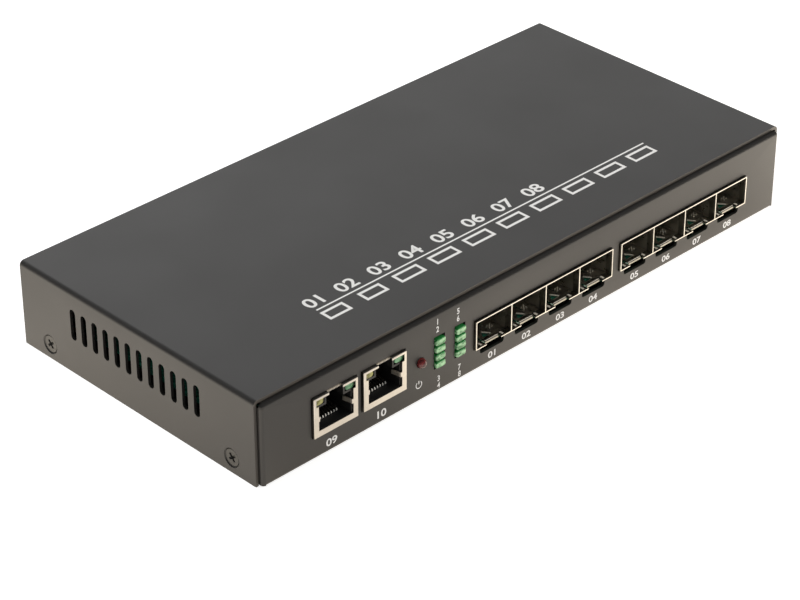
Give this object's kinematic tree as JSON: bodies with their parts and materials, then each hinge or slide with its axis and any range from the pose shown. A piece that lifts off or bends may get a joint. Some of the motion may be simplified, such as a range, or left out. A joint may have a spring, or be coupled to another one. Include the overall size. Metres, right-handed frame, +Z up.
{
  "type": "fibre network switch",
  "caption": "Small folded-steel network switch with a row of fibre module ports, copper network jacks, lamps, side vents and a power inlet at the rear.",
  "frame": {"origin": "middle of the underside, under the centre of the bounding box", "axes": "+X to the right along the front, +Y from the port side to the rear, +Z up; the ports face -Y"},
  "size_m": [0.216, 0.1042, 0.0275],
  "materials": {
    "case_paint": "satin black powder paint, fine texture",
    "black_screw": "black zinc, satin",
    "board": "green solder mask",
    "standoff": "plain turned brass",
    "bright_screw": "zinc plated",
    "jack_shield": "nickel plated, satin",
    "cage_steel": "tin plated, satin",
    "black_plastic": "moulded, satin",
    "contact_gold": "gold plated",
    "yellow_lens": "clear tinted",
    "green_lens": "clear tinted",
    "red_lens": "clear tinted",
    "chip": "moulded, matt",
    "heat_sink": "plain extruded",
    "capacitor": "shrunk sleeve",
    "crystal_can": "pressed can",
    "coil": "moulded powder core",
    "inlet_pin": "nickel plated"
  },
  "bodies": {
    "root": {"base_tray": "case_paint", "top_cover": "case_paint", "cover_screw_left_front": "black_screw", "cover_screw_left_rear": "black_screw", "cover_screw_right_front": "black_screw", "cover_screw_right_rear": "black_screw", "main_board": "board", "board_standoff_1": "standoff", "board_screw_1": "bright_screw", "board_standoff_2": "standoff", "board_screw_2": "bright_screw", "board_standoff_3": "standoff", "board_screw_3": "bright_screw", "board_standoff_4": "standoff", "board_screw_4": "bright_screw", "network_jack_1_shield": "jack_shield", "network_jack_1_housing": "black_plastic", "network_jack_1_contacts": "contact_gold", "network_jack_1_yellow_lamp": "yellow_lens", "network_jack_1_green_lamp": "green_lens", "network_jack_2_shield": "jack_shield", "network_jack_2_housing": "black_plastic", "network_jack_2_contacts": "contact_gold", "network_jack_2_yellow_lamp": "yellow_lens", "network_jack_2_green_lamp": "green_lens", "port_lamp_1": "green_lens", "port_lamp_2": "green_lens", "port_lamp_3": "green_lens", "port_lamp_4": "green_lens", "port_lamp_5": "green_lens", "port_lamp_6": "green_lens", "port_lamp_7": "green_lens", "port_lamp_8": "green_lens", "power_lamp": "red_lens", "fibre_cage_a": "cage_steel", "fibre_cage_b": "cage_steel", "edge_connector_1": "black_plastic", "edge_connector_2": "black_plastic", "edge_connector_3": "black_plastic", "edge_connector_4": "black_plastic", "edge_connector_5": "black_plastic", "edge_connector_6": "black_plastic", "edge_connector_7": "black_plastic", "edge_connector_8": "black_plastic", "inlet_housing": "black_plastic", "inlet_pin": "inlet_pin", "switch_chip": "chip", "link_chip": "chip", "memory_chip": "chip", "supply_chip": "chip", "heat_sink": "heat_sink", "crystal": "crystal_can", "supply_coil": "coil", "capacitor_1": "capacitor", "capacitor_2": "capacitor", "capacitor_3": "capacitor"}
  },
  "joints": []
}
